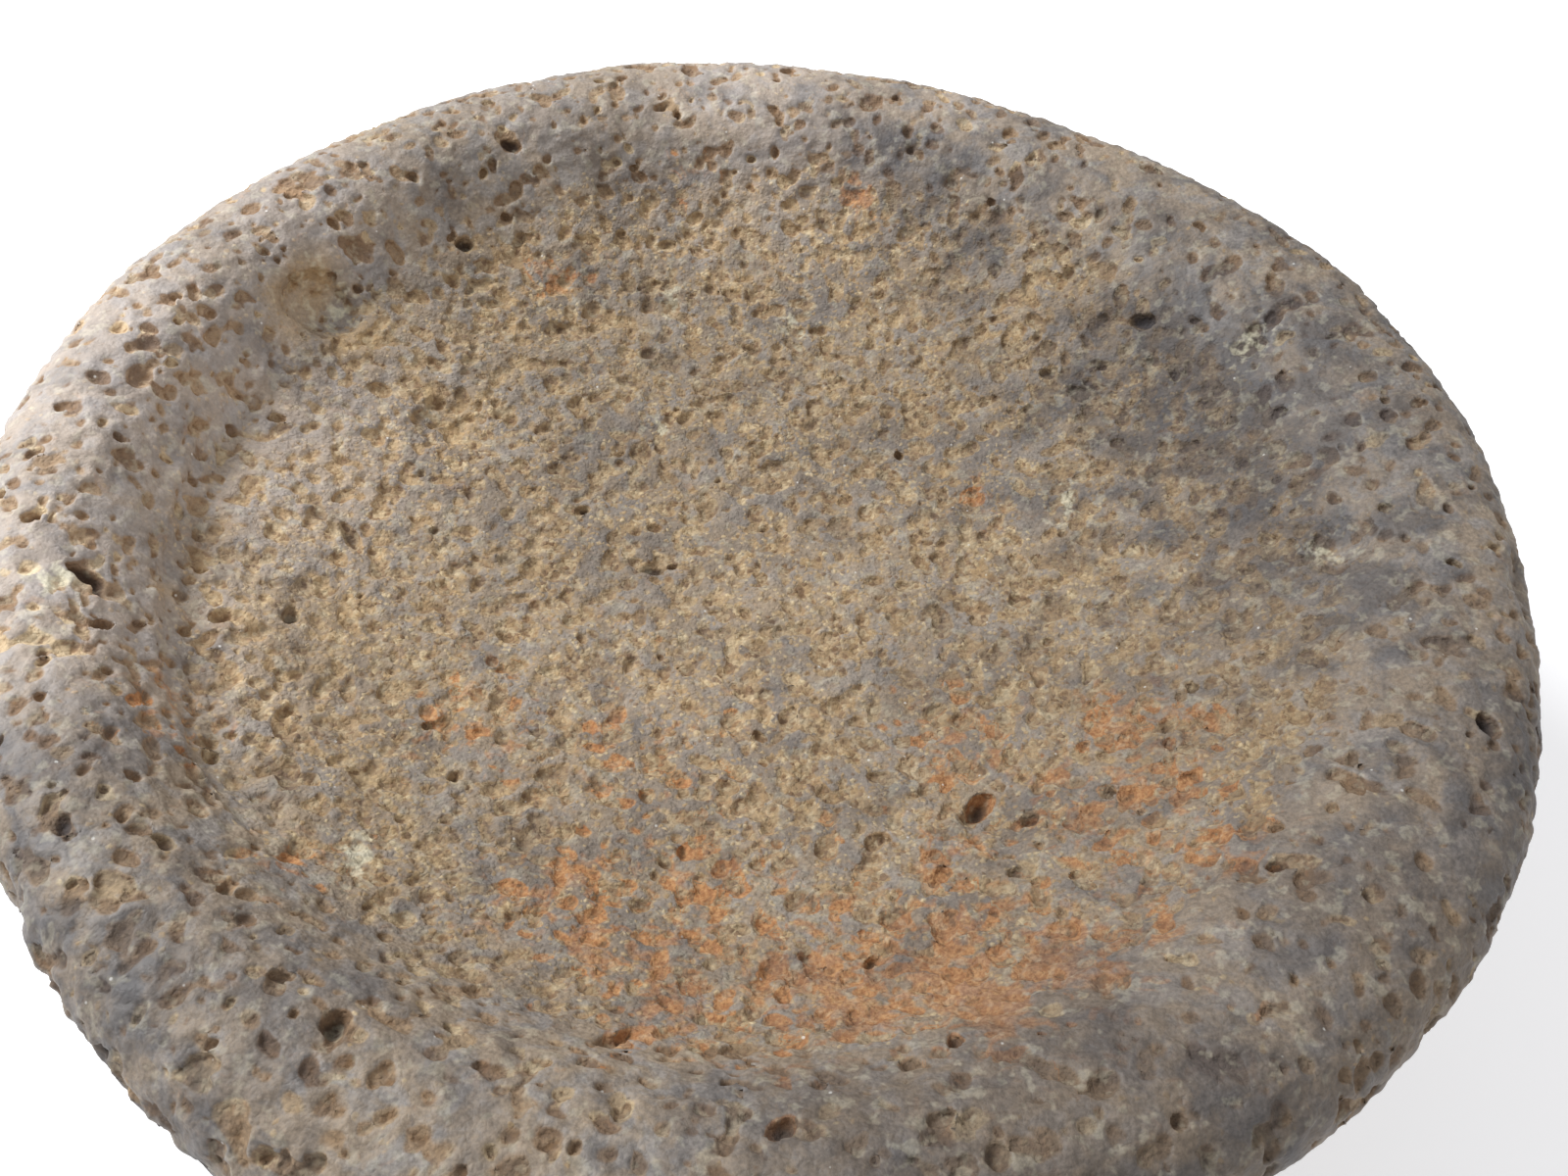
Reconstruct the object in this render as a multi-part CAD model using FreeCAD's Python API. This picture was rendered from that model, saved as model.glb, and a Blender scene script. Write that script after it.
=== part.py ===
"""Molcajete: a three-legged mortar carved from one block of vesicular basalt, and its loose
pestle, the tejolote.

Units are millimetres. +Z is up, Z = 0 is the surface that the three feet stand on, and the
origin lies on that surface, under the middle of the rim. +Y points at the back leg, behind
which the tejolote lies on its side.
"""

import FreeCAD, Part
import math
import os

Vector = FreeCAD.Vector

# Driving dimensions ------------------------------------------------------------------------

RIM_RADIUS = 125.0        # half the width over the rim
RIM_HEIGHT = 98.0         # top of the rim above the table
UNDERSIDE_HEIGHT = 36.0   # flat middle of the underside above the table
BASIN_DEPTH = 33.0        # hollow below the top of the rim
BASIN_SHIFT = 4.5         # the wall of the basin is moved this far towards -X at half its depth

LEG_CIRCLE = 71.0         # radius from the middle to the middle of each foot
LEG_LEAN = 5.0            # how far the top of a leg stands nearer to the middle than its foot
LEG_TOP = 60.0            # a leg's blank runs up to here, inside the bowl, before it is trimmed
LEG_ANGLES = {"leg_back": 90.0, "leg_front_left": 212.0, "leg_front_right": 327.0}

PESTLE_LENGTH = 118.0
PESTLE_RADIUS = 31.5      # the grinding end
PESTLE_SKEW = 6.0         # degrees that the lying pestle is turned from the X axis, in plan
PESTLE_PLACE = (3.0, 165.5)   # the middle of the lying pestle, in plan

# Sections: radius and height, as points on one smooth line -----------------------------------

FLOOR = RIM_HEIGHT - BASIN_DEPTH

# From under the middle, out round the outer wall, and over the crest of the rim.
OUTSIDE = [
    (30.0, UNDERSIDE_HEIGHT),
    (58.0, UNDERSIDE_HEIGHT + 2.2),
    (84.0, UNDERSIDE_HEIGHT + 11.0),
    (106.0, UNDERSIDE_HEIGHT + 27.0),
    (121.0, RIM_HEIGHT - 18.0),
    (RIM_RADIUS, RIM_HEIGHT - 8.5),
    (120.5, RIM_HEIGHT - 1.4),
    (111.0, RIM_HEIGHT),
]
# From the crest of the rim down the wall of the basin to the middle of its floor.
INSIDE = [
    (101.0, RIM_HEIGHT - 4.0),
    (91.5, RIM_HEIGHT - 13.0),
    (78.0, FLOOR + 12.0),
    (52.0, FLOOR + 4.0),
    (28.0, FLOOR + 0.8),
    (12.0, FLOOR),
]

# A leg from the flat face that is worn on its foot, up into the bowl.
LEG = [(12.0, 0.0), (15.8, 2.0), (17.8, 8.0), (19.8, 22.0), (23.2, 41.0), (29.0, LEG_TOP)]

# The tejolote from its grinding face, which is worn nearly flat, to the end of its grip. Each
# number is a share of its radius or its length.
PESTLE = [(0.36, 0.0), (0.80, 0.03), (1.0, 0.15), (0.94, 0.32), (0.75, 0.60), (0.66, 0.78),
          (0.62, 0.90), (0.42, 0.98), (0.18, 1.0)]
HEEL, GRIP = PESTLE[2], PESTLE[6]     # the two places that it lies on

# Outlines, level ring by level ring ----------------------------------------------------------

# Hand-dressed lobes: (how many round the outline, height in mm, angle of one crest in degrees)
OUTSIDE_LOBES = [(2, 0.6, 95.0), (3, 1.0, 24.0), (5, 0.9, 32.0)]
INSIDE_LOBES = [(2, 0.9, 62.0), (3, 1.4, 150.0), (4, 0.6, 20.0)]
LEG_LOBES = [(2, 0.8, 90.0), (3, 0.6, 20.0)]
PESTLE_LOBES = [(2, 0.7, 40.0), (3, 0.9, 0.0)]

BOWL_RING_POINTS = 40
SMALL_RING_POINTS = 20
BOWL_STEP = 5.0           # between one ring and the next, along the section
SMALL_STEP = 3.0
SKIN_DEGREE = 3


def along(section, step):
    """Evenly spaced points, as (radius, height), on the smooth line through a section."""
    line = Part.BSplineCurve()
    line.interpolate([Vector(radius, 0.0, height) for radius, height in section])
    points = line.toShape().discretize(Number=round(line.length() / step) + 1)
    return [(point.x, point.z) for point in points]


def lobed(radius, angle, lobes):
    """The radius of a hand-dressed outline at an angle in degrees."""
    return radius + sum(
        height * math.cos(math.radians(count * (angle - crest)))
        for count, height, crest in lobes
    )


def ring(radius, centre, lobes, count):
    """Control points of a smooth closed outline in a level plane."""
    points = []
    for step in range(count):
        angle = 360.0 * step / count
        reach = lobed(radius, angle, lobes)
        points.append(Vector(
            centre[0] + reach * math.cos(math.radians(angle)),
            centre[1] + reach * math.sin(math.radians(angle)),
            centre[2],
        ))
    return points


def solid_through(rings):
    """One smooth skin over rings of control points, closed by a flat face at each end."""
    around = len(rings[0])
    spans = len(rings) - SKIN_DEGREE
    ends = SKIN_DEGREE + 1
    surface = Part.BSplineSurface()
    surface.buildFromPolesMultsKnots(
        [list(column) for column in zip(*rings)],
        [1] * (around + 1),
        [ends] + [1] * (spans - 1) + [ends],
        list(range(around + 1)),
        list(range(spans + 1)),
        True, False, SKIN_DEGREE, SKIN_DEGREE,
    )
    skin = surface.toShape()
    outlines = [edge for edge in skin.Edges if edge.isClosed()]
    faces = [skin] + [Part.Face(Part.Wire([edge])) for edge in outlines]
    shell = Part.Shell(faces)
    shell.sewShape()
    solid = Part.Solid(shell)
    if solid.Volume < 0.0:
        solid.reverse()
    return solid


def make_bowl():
    """Wall, rim and basin as one skin, closed by the underside and the middle of the floor."""
    section = along(OUTSIDE + INSIDE, BOWL_STEP)
    crest = max(range(len(section)), key=lambda index: section[index][1])
    rings = []
    for index, (radius, height) in enumerate(section):
        shift = 0.0
        lobes = OUTSIDE_LOBES
        if index > crest:
            depth = (RIM_HEIGHT - height) / BASIN_DEPTH
            shift = BASIN_SHIFT * math.sin(math.pi * depth)
            lobes = INSIDE_LOBES
        fade = radius / RIM_RADIUS
        lobes = [(count, tall * fade, angle) for count, tall, angle in lobes]
        rings.append(ring(radius, (-shift, 0.0, height), lobes, BOWL_RING_POINTS))
    return solid_through(rings)


def make_leg(angle, bowl):
    """A stubby tapered leg, trimmed to meet the bowl's underside face to face."""
    out = Vector(math.cos(math.radians(angle)), math.sin(math.radians(angle)), 0.0)
    lobes = [(count, height, crest + angle) for count, height, crest in LEG_LOBES]
    rings = []
    for radius, height in along(LEG, SMALL_STEP):
        middle = out * (LEG_CIRCLE - LEG_LEAN * height / LEG_TOP)
        rings.append(ring(radius, (middle.x, middle.y, height), lobes, SMALL_RING_POINTS))
    blank = solid_through(rings)
    below = sorted(blank.cut(bowl).Solids, key=lambda solid: solid.BoundBox.ZMin)
    return below[0]


def make_tejolote():
    """The pestle, made upright on its grinding face and then laid down behind the bowl."""
    section = [(share * PESTLE_RADIUS, height * PESTLE_LENGTH) for share, height in PESTLE]
    pestle = solid_through([
        ring(radius, (0.0, 0.0, height), PESTLE_LOBES, SMALL_RING_POINTS)
        for radius, height in along(section, SMALL_STEP)
    ])
    # Laid over towards +X, it comes down on its heel and the end of its grip.
    drop = (HEEL[0] - GRIP[0]) * PESTLE_RADIUS
    tilt = math.degrees(math.atan2(drop, (GRIP[1] - HEEL[1]) * PESTLE_LENGTH))
    pestle.translate(Vector(0.0, 0.0, -PESTLE_LENGTH / 2.0))
    pestle.rotate(Vector(0, 0, 0), Vector(0, 1, 0), 90.0 + tilt)
    pestle.rotate(Vector(0, 0, 0), Vector(0, 0, 1), PESTLE_SKEW)
    box = pestle.optimalBoundingBox(False)
    pestle.translate(Vector(PESTLE_PLACE[0], PESTLE_PLACE[1], -box.ZMin))
    return pestle


def main():
    os.makedirs("parts", exist_ok=True)
    bowl = make_bowl()
    parts = {"bowl": bowl}
    for name, angle in LEG_ANGLES.items():
        parts[name] = make_leg(angle, bowl)
    parts["tejolote"] = make_tejolote()
    for name, shape in parts.items():
        shape.exportStep(f"parts/{name}.step")
        box = shape.optimalBoundingBox(False)
        print(f"{name}: valid {shape.isValid()}, {len(shape.Solids)} solid, "
              f"{shape.Volume / 1000.0:.1f} cm3, "
              f"X {box.XMin:.1f} to {box.XMax:.1f}, Y {box.YMin:.1f} to {box.YMax:.1f}, "
              f"Z {box.ZMin:.2f} to {box.ZMax:.2f}")


main()
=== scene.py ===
"""Molcajete: the worn, pitted basalt of the mortar and its tejolote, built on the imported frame.

The stone is modelled as a field of signed distances, taken from the CAD solids. Hollows and
pits are dug out of the field, and a net of quads is drawn over what is left. Stone work is in
millimetres, and a mesh is scaled to metres when it is written. Places on the mortar are in the
frame's own axes: +Z up, +Y towards the back leg, and the origin under the middle of the rim.
"""

import itertools
import math

import bpy
import numpy as np
from mathutils import Matrix, Vector
from mathutils.bvhtree import BVHTree


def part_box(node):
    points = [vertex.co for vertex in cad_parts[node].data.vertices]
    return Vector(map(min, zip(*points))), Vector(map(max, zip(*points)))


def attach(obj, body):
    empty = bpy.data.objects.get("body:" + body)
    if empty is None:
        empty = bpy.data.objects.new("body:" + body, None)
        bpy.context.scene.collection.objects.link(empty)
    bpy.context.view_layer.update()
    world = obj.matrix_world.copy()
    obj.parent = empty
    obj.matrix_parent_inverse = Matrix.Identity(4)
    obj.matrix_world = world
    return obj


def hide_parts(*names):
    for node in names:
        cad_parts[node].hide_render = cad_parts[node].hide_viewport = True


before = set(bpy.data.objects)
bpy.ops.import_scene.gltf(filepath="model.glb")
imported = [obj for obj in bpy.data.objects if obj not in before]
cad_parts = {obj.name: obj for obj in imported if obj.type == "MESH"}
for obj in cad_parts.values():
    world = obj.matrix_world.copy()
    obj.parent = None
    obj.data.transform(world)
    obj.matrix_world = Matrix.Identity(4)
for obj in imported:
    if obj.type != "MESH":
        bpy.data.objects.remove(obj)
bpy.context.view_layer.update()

MM = 0.001
MORTAR_NODES = ["bowl", "leg_back", "leg_front_left", "leg_front_right"]
LEG_NODES = MORTAR_NODES[1:]

BOWL_LOW, BOWL_HIGH = (np.array(corner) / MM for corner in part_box("bowl"))
RIM_RADIUS = (BOWL_HIGH[0] - BOWL_LOW[0]) / 2.0
RIM_TOP = BOWL_HIGH[2]
BELLY = RIM_TOP - 9.0  # height of the widest line round the rim
FOOT_LEVEL = 0.0  # what the mortar and the tejolote stand on

# --- The field ---

COARSE_STEP = 2.5  # grid of the CAD solids' own distances
FINE_STEP = 0.55  # grid that the quads are drawn on
UNION_STEP = 1.0  # of the voxel union of the CAD solids
GRID_MARGIN = 5.0  # of grid left clear round the solids
DEEPEST = 30.0  # mm that a pit may go down, where no sediment fills it
HASH_SIZE = 4096  # how many random slopes the noise draws on
CORNERS = list(itertools.product((0, 1), repeat=3))  # of a cell

rng = np.random.default_rng(20261116)
GRADIENTS = rng.normal(size=(HASH_SIZE, 3))
GRADIENTS /= np.linalg.norm(GRADIENTS, axis=1)[:, None]


def smoothstep(low, high, value):
    """0 up to low, 1 from high on, and a smooth rise between them."""
    share = np.clip((value - low) / (high - low), 0.0, 1.0)
    return share * share * (3.0 - 2.0 * share)


def rough(points, size, seed):
    """Gradient noise, about -1 to 1, with lumps of about that size in mm, at points (N, 3)."""
    place = points / size + seed * 17.31
    cell = np.floor(place).astype(np.int64)
    part = place - cell
    fade = part ** 3 * (part * (part * 6.0 - 15.0) + 10.0)
    total = np.zeros(len(points))
    for corner in CORNERS:
        at = cell + corner
        code = (at[:, 0] * 73856093) ^ (at[:, 1] * 19349663) ^ (at[:, 2] * 83492791)
        slope = GRADIENTS[(code + seed * 7919) % HASH_SIZE]
        near = np.where(np.array(corner) == 1, fade, 1.0 - fade).prod(axis=1)
        total += near * ((part - corner) * slope).sum(axis=1)
    return total * 1.6


def lumps(points, sizes, seed):
    """Noise of several sizes added up. Sizes holds the size and height of each in mm."""
    return sum(tall * rough(points, size, seed + i) for i, (size, tall) in enumerate(sizes))


class Field:
    """Signed distances in mm on a regular grid, negative inside the stone.

    Each pit dug in it leaves its own tint, from 1 to 255, on the cells round it."""

    def __init__(self, origin, step, values):
        self.origin = origin
        self.step = step
        self.values = values
        self.tints = np.zeros(values.shape, np.uint8)

    def points(self):
        axes = [self.origin[i] + self.step * np.arange(n) for i, n in enumerate(self.values.shape)]
        return np.stack(np.meshgrid(*axes, indexing="ij"), axis=-1).reshape(-1, 3)

    def at(self, points):
        """Values between the grid's points."""
        place = (points - self.origin) / self.step
        top = np.array(self.values.shape) - 2
        cell = np.clip(place.astype(int), 0, top)
        part = place - cell
        total = np.zeros(len(points))
        for corner in CORNERS:
            i, j, k = (cell + corner).T
            near = np.where(np.array(corner) == 1, part, 1.0 - part).prod(axis=1)
            total += near * self.values[i, j, k]
        return total

    def finer(self, step):
        """The same field on a finer grid."""
        values = self.values.astype(np.float32)
        for axis in (2, 1, 0):
            span = (values.shape[axis] - 1) * self.step
            place = np.arange(int(span / step)) * step / self.step
            low = place.astype(int)
            shape = [1, 1, 1]
            shape[axis] = -1
            part = (place - low).astype(np.float32).reshape(shape)
            below = np.take(values, low, axis)
            above = np.take(values, low + 1, axis)
            above -= below
            above *= part
            above += below
            values = above
        return Field(self.origin, step, values)

    def softened(self, rounds):
        """The values spread over their neighbours, which rounds off inner corners."""
        values = self.values
        for _ in range(rounds):
            for axis in range(3):
                place = np.arange(values.shape[axis])
                before = np.take(values, place - 1, axis, mode="clip")
                after = np.take(values, place + 1, axis, mode="clip")
                values = 0.25 * before + 0.5 * values + 0.25 * after
        return values

    def tints_at(self, points):
        """The tint at each point, from 0 to 1."""
        cell = np.rint((points - self.origin) / self.step).astype(int)
        return self.tints[tuple(cell.T)] / 255.0

    def dig(self, centre, axes, floor=DEEPEST, tint=0):
        """Takes out an ellipsoid, but nothing deeper below the surface than its floor of sediment.

        The rows of axes are the ellipsoid's half-axes, in mm."""
        lengths = np.linalg.norm(axes, axis=1)
        reach = lengths.max() + 2.0 * self.step
        low = np.maximum(((centre - reach - self.origin) / self.step).astype(int), 0)
        high = np.minimum(((centre + reach - self.origin) / self.step).astype(int) + 2,
                          self.values.shape)
        if (high <= low).any():
            return
        near = tuple(slice(*ends) for ends in zip(low, high))
        block = self.values[near]
        x, y, z = (self.origin[i] + self.step * np.arange(low[i], high[i]) - centre[i] for i in range(3))
        square = 0.0
        for row, length in zip(axes, lengths):
            unit = row / length ** 2
            part = (x * unit[0])[:, None, None] + (y * unit[1])[None, :, None]
            square = square + (part + (z * unit[2])[None, None, :]) ** 2
        inside = ((1.0 - np.sqrt(square)) * lengths.min()).astype(np.float32)
        if tint:
            self.tints[near][inside > -self.step] = tint
        np.maximum(block, np.minimum(inside, block + floor), out=block)


def mesh_arrays(mesh, unit=MM):
    """A mesh's points, divided by a unit, and the corners of its faces."""
    places = np.empty(len(mesh.vertices) * 3, np.float32)
    mesh.vertices.foreach_get("co", places)
    corners = [tuple(face.vertices) for face in mesh.polygons]
    return places.reshape(-1, 3).astype(float) / unit, corners


def union_of(nodes):
    """One closed skin round several CAD solids, as points and faces. Its own mesh is in mm."""
    points = []
    faces = []
    for name in nodes:
        node_points, node_faces = mesh_arrays(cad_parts[name].data)
        start = sum(len(part) for part in points)
        points.append(node_points)
        faces += [tuple(start + corner for corner in face) for face in node_faces]
    mesh = bpy.data.meshes.new("union")
    mesh.from_pydata(np.concatenate(points), [], faces)
    blank = bpy.data.objects.new("union", mesh)
    bpy.context.scene.collection.objects.link(blank)
    remesh = blank.modifiers.new("union", "REMESH")
    remesh.mode = "VOXEL"
    remesh.voxel_size = UNION_STEP
    evaluated = blank.evaluated_get(bpy.context.evaluated_depsgraph_get())
    skin, corners = mesh_arrays(evaluated.to_mesh(), 1.0)
    evaluated.to_mesh_clear()
    bpy.data.objects.remove(blank)
    bpy.data.meshes.remove(mesh)
    return skin, corners


def distances(skin, corners):
    """The field of a closed skin on the coarse grid."""
    tree = BVHTree.FromPolygons([Vector(point) for point in skin], corners)
    origin = np.floor(skin.min(0) - GRID_MARGIN)
    count = np.ceil((skin.max(0) + GRID_MARGIN - origin) / COARSE_STEP).astype(int) + 1
    field = Field(origin, COARSE_STEP, np.zeros(count))
    values = []
    for point in field.points():
        place = Vector(point)
        nearest, normal, _, distance = tree.find_nearest(place)
        side = 1.0 if (place - nearest).dot(normal) >= 0.0 else -1.0
        values.append(side * distance)
    field.values = np.array(values).reshape(count)
    return field


# --- Drawing the quads ---


def net_over(field):
    """A net of quads over the field's surface: one point per crossed cell, in mm."""
    inside = field.values < 0.0
    corners = inside.view(np.uint8)
    count = corners[:-1] + corners[1:]
    count = count[:, :-1] + count[:, 1:]
    count = count[:, :, :-1] + count[:, :, 1:]
    active = np.flatnonzero((count > 0) & (count < 8))
    number = np.full(count.size, -1, np.int32)
    number[active] = np.arange(len(active))
    number = number.reshape(count.shape)
    cell = np.stack(np.unravel_index(active, count.shape), axis=1)
    value = {corner: field.values[tuple((cell + corner).T)] for corner in CORNERS}
    place = np.zeros((len(active), 3), np.float32)
    crossings = np.zeros(len(active), np.float32)
    for start in value:
        for axis in range(3):
            if start[axis]:
                continue
            end = tuple(1 if i == axis else start[i] for i in range(3))
            crossed = np.flatnonzero((value[start] < 0.0) != (value[end] < 0.0))
            near, far = value[start][crossed], value[end][crossed]
            point = np.tile(np.array(start, np.float32), (len(crossed), 1))
            point[:, axis] = near / (near - far)
            place[crossed] += point
            crossings[crossed] += 1.0
    points = field.origin + field.step * (cell + place / crossings[:, None])
    quads = []
    for axis in range(3):
        first, second = (axis + 1) % 3, (axis + 2) % 3
        keep = [slice(1, -1)] * 3
        lower, upper = list(keep), list(keep)
        lower[axis] = slice(0, -1)
        upper[axis] = slice(1, None)
        starts, ends = inside[tuple(lower)], inside[tuple(upper)]
        crossed = np.flatnonzero(starts != ends)
        at = np.stack(np.unravel_index(crossed, starts.shape), axis=1)
        at += [0 if i == axis else 1 for i in range(3)]
        ring = []
        for back_first, back_second in ((1, 1), (0, 1), (0, 0), (1, 0)):
            around = at.copy()
            around[:, first] -= back_first
            around[:, second] -= back_second
            ring.append(number[tuple(around.T)])
        ring = np.stack(ring, axis=1)
        outward = starts.reshape(-1)[crossed]
        quads.append(np.where(outward[:, None], ring, ring[:, ::-1]))
    return points, np.concatenate(quads)


def joined_labels(count, links):
    """A label for each of count points, the same for points that links join."""
    label = np.arange(count)
    while True:
        ends = label[links]
        low, high = ends.min(axis=1), ends.max(axis=1)
        apart = low != high
        if not apart.any():
            return label
        np.minimum.at(label, high[apart], low[apart])
        while True:
            jumped = label[label]
            if (jumped == label).all():
                break
            label = jumped


def largest_part(points, quads):
    """Leaves out crumbs of stone and closed bubbles that the digging cut off."""
    links = np.concatenate([quads[:, :2], quads[:, 1:3], quads[:, 2:]])
    label = joined_labels(len(points), links)
    main = np.bincount(label).argmax()
    keep = label == main
    number = np.cumsum(keep) - 1
    return points[keep], number[quads[keep[quads[:, 0]]]]


def point_normals(points, quads):
    """The direction out of the stone at each point."""
    across = np.cross(points[quads[:, 2]] - points[quads[:, 0]],
                      points[quads[:, 3]] - points[quads[:, 1]])
    normals = np.zeros_like(points)
    for corner in range(4):
        for axis in range(3):
            normals[:, axis] += np.bincount(quads[:, corner], across[:, axis], len(points))
    return normals / np.maximum(np.linalg.norm(normals, axis=1)[:, None], 1e-9)


# --- The mortar's stone ---

BASIN_EDGE = (88.0, 98.0)  # radii over which the basin gives way to the rim
CORE_HEIGHT = 46.0  # middle of the stone, between the basin's floor and the underside
SEAM_HEIGHT = RIM_TOP - 24.0  # where the bowl's inside and outside pieces meet on its wall
LEG_TOP = 58.0  # the legs have run into the bowl by this height
LEG_FILLET = (12.0, 24.0)  # heights over which the legs begin to run into the bowl
FILLET_END = 8.0  # above LEG_TOP, over which that stops
FILLET_ROUNDS = 9  # of softening, which make the fillet
STANDING = 1.0  # the grain fades out this far above the floor

# Hand-dressed unevenness, and the grain of the skin: (size of the lumps, their height) in mm
LUMPS = [(30.0, 0.7), (11.0, 0.35)]
GRAIN = [(3.2, 0.08), (1.4, 0.05)]
BASIN_DENTS = (5.0, 0.24)  # the basin is rougher than the rim
WARP = [(2.6, 0.34), (1.2, 0.12)]  # sideways as well, so that no pit keeps a round outline

# Hollows and holes that can be told apart: place on the mortar, half-axes along and across,
# depth, and the direction of the long axis in degrees.
HOLLOWS = [
    ((-84, 41, 86.5), 8, 5.5, 4, 20),
    ((-59, 27, 72.5), 8, 6, 2, 150),
    ((93, -4, 91), 6.5, 5, 2.4, 60),
    ((88, 44, 92), 5, 4.5, 1.4, 20),
    ((40, -50, 72.5), 6.5, 5, 1.6, 110),
    ((119, -14, 95), 6, 5, 1.8, 80),
    ((-92, -86, 92), 8, 5, 2, 30),
]
HOLES = [
    ((-19, 1, 65.8), 2.6, 1.5, 2.2, 10),
    ((-15.5, 2.2, 65.8), 1.2, 0.9, 1.8, 40),
    ((-40, -3, 67.5), 2.6, 1.9, 1.3, 60),
    ((-33, 13, 66.6), 1.3, 0.9, 2, 0),
    ((0, 13, 65.5), 1.4, 0.8, 1.6, 60),
    ((-70, -4, 73.5), 3.6, 1.2, 1.8, 130),
    ((-83, -28, 80.5), 2.1, 1.6, 2.2, 40),
    ((-74, -24, 76.5), 2, 1.4, 1.9, 80),
    ((-81.5, 44, 83), 2, 1.4, 1.8, 40),
    ((-90, 42, 88), 2.6, 1.6, 0.9, 80),
    ((-86.5, 43.5, 89), 5.5, 4, 1.8, 20),
    ((37, -47, 71.5), 3.4, 1.9, 3.2, 55),
    ((44, -50, 73), 1.7, 1.2, 2.2, 30),
    ((92, -3, 90.5), 2.8, 1.6, 2.2, 60),
    ((70, 56, 85), 2.8, 1.7, 2.4, 160),
    ((-97, -33, 94.5), 3.4, 1.3, 2.8, 170),
    ((-94, -34.5, 94), 1.6, 1.1, 2.2, 130),
    ((-57, 85, 94.5), 2.4, 1.5, 2.6, 0),
    ((-64, 66, 83), 2.2, 1.5, 2.4, 30),
    ((-103, 8, 97.5), 2.6, 2, 1.2, 80),
    ((72, -66, 94), 1.8, 1.3, 2.4, 20),
    ((-83, -76, 97.5), 1.9, 1.3, 2, 120),
    ((-43, -98, 97), 2.2, 1.5, 2.4, 70),
    ((9, -106, 96), 2.2, 1.4, 2.2, 40),
    ((104, -44, 98), 2.4, 1.5, 2.8, 100),
]

# The crease at the foot of the steep left wall: an arc of short digs between two angles
CREASE_RADIUS = 91.0
CREASE_HEIGHT = BELLY - 5.0
CREASE_ANGLES = (172.0, 222.0)
CREASE_STEP = 2.5
CREASE_AXES = (11.0, 4.0, 1.5)  # half-axes along and across, and depth

# Pits scattered by chance: how many places for them to a square mm, and the kinds. A kind's four
# ranges are the radius in mm, the depth in radii, how far the pit is sunk in depths, and how far
# below the surface its sediment lies in mm.
MORTAR_PLACES = 0.32
PESTLE_PLACES = 0.15
BASIN_PITS = (0.48, 1.35), (0.6, 1.0), (-0.3, 0.5), (0.25, 0.60)
BASIN_HOLES = (0.55, 1.1), (0.9, 1.4), (0.0, 0.5), (1.2, 3.0)
RIM_PITS = (0.45, 1.2), (0.6, 1.0), (-0.1, 0.5), (0.3, 0.7)
RIM_HOLES = (0.5, 1.1), (0.9, 1.4), (0.0, 0.5), (1.2, 3.0)
BROAD_PITS = (0.9, 1.6), (0.5, 0.8), (0.0, 0.4), (0.5, 1.1)
PESTLE_PITS = (0.48, 1.3), (0.6, 1.0), (-0.2, 0.5), (0.4, 1.0)
PESTLE_HOLES = (0.55, 1.4), (0.9, 1.4), (0.0, 0.5), (1.2, 3.5)
RIGHT_SIDE = (-20.0, 70.0)  # x over which pits of the left give way to pits of the right
PIT_STRETCH = (1.0, 1.8)  # a pit's long axis, in radii
BUDDING_RADIUS = 0.9  # a pit larger than this has a second, smaller one in its side
BUD_SIZE = (0.5, 0.8)  # of the pit that it is in
BUD_ALONG = 1.3  # how far off its middle may lie, in radii
BUD_ACROSS = 0.8


def cut_height(reach):
    """Height of the cone inside the stone that parts the bowl's inside from its outside."""
    return CORE_HEIGHT + (SEAM_HEIGHT - CORE_HEIGHT) * reach / RIM_RADIUS


def across_floor(points):
    """1 in the basin, 0 on the rim and everywhere outside."""
    reach = np.hypot(points[:, 0], points[:, 1])
    above = points[:, 2] > cut_height(reach)
    return above * (1.0 - smoothstep(*BASIN_EDGE, reach))


def directions(normal, turn):
    """Two directions along the surface, turned that far, and one out of it."""
    side = np.cross(normal, [0.0, 1.0, 0.0] if abs(normal[1]) < 0.9 else [1.0, 0.0, 0.0])
    side /= np.linalg.norm(side)
    along = side * math.cos(turn) + np.cross(normal, side) * math.sin(turn)
    return along, np.cross(normal, along), normal


def dig_at(field, place, along, across, depth, turn):
    """Digs a hollow whose middle lies on the surface nearest to that place."""
    centre = np.array(place)
    slope = np.array([
        field.at(np.array([centre + axis]))[0] - field.at(np.array([centre - axis]))[0]
        for axis in np.eye(3)
    ])
    normal = slope / np.linalg.norm(slope)
    centre = centre - normal * field.at(centre[None])[0]
    one, two, out = directions(normal, math.radians(turn))
    field.dig(centre, np.array([one * along, two * across, out * depth]))


def dig_pits(field, points, normals, radii, squash, sink, floor):
    """Scatters vesicles, many small and few large, each stretched, sunk and filled by chance."""
    for point, normal in zip(points, normals):
        radius = radii[0] * (radii[1] / radii[0]) ** (rng.random() ** 1.5)
        along, across, out = directions(normal, rng.uniform(0.0, math.pi))
        depth = radius * rng.uniform(*squash)
        axes = np.array([along * radius * rng.uniform(*PIT_STRETCH), across * radius, out * depth])
        centre = point - normal * depth * rng.uniform(*sink)
        filled = rng.uniform(*floor)
        tint = rng.integers(1, 256)
        field.dig(centre, axes, filled, tint)
        if radius > BUDDING_RADIUS:
            bud = along * rng.uniform(-BUD_ALONG, BUD_ALONG)
            bud = bud + across * rng.uniform(-BUD_ACROSS, BUD_ACROSS)
            field.dig(centre + bud * radius, axes * rng.uniform(*BUD_SIZE), filled, tint)


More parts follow.
